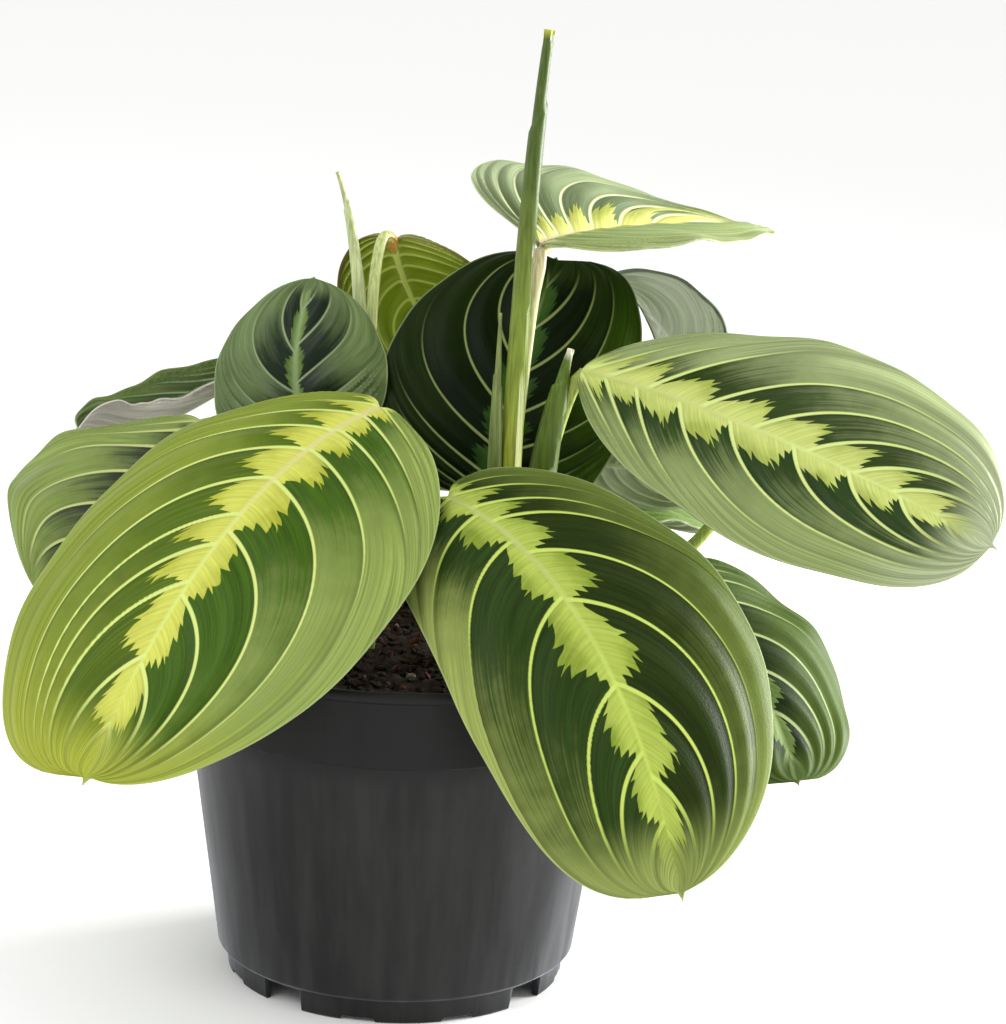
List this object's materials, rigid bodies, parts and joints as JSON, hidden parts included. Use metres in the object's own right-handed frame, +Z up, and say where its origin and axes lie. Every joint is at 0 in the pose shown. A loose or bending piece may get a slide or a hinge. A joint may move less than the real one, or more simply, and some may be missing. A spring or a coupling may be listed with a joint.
{
  "type": "potted prayer plant",
  "caption": "Potted prayer plant with patterned oval leaves on arching stalks and a tall rolled leaf, in a tapered plastic nursery pot filled with peat soil.",
  "frame": {"origin": "bottom centre of the whole part's bounding box, on the surface the pot stands on", "axes": "+Z up, -Y towards the front the plant leans out to, +X towards its longest leaf"},
  "size_m": [0.2654, 0.2054, 0.2593],
  "materials": {
    "pot": "satin injection-moulded polypropylene",
    "soil": "damp crumbly peat mix",
    "leaf": "satin living leaf, patterned above and paler below"
  },
  "bodies": {
    "root": {"pot": "pot", "soil": "soil", "leaf_front_left": "leaf", "leaf_front_right": "leaf", "leaf_right": "leaf", "leaf_low_right": "leaf", "leaf_centre": "leaf", "leaf_left": "leaf", "shoot_back_left": "leaf", "shoot_tall": "leaf", "leaf_back_right": "leaf", "leaf_low_left": "leaf", "leaf_far_left": "leaf", "leaf_mid_right": "leaf", "leaf_rear": "leaf", "leaf_rear_left": "leaf", "leaf_rear_right": "leaf"}
  },
  "joints": []
}
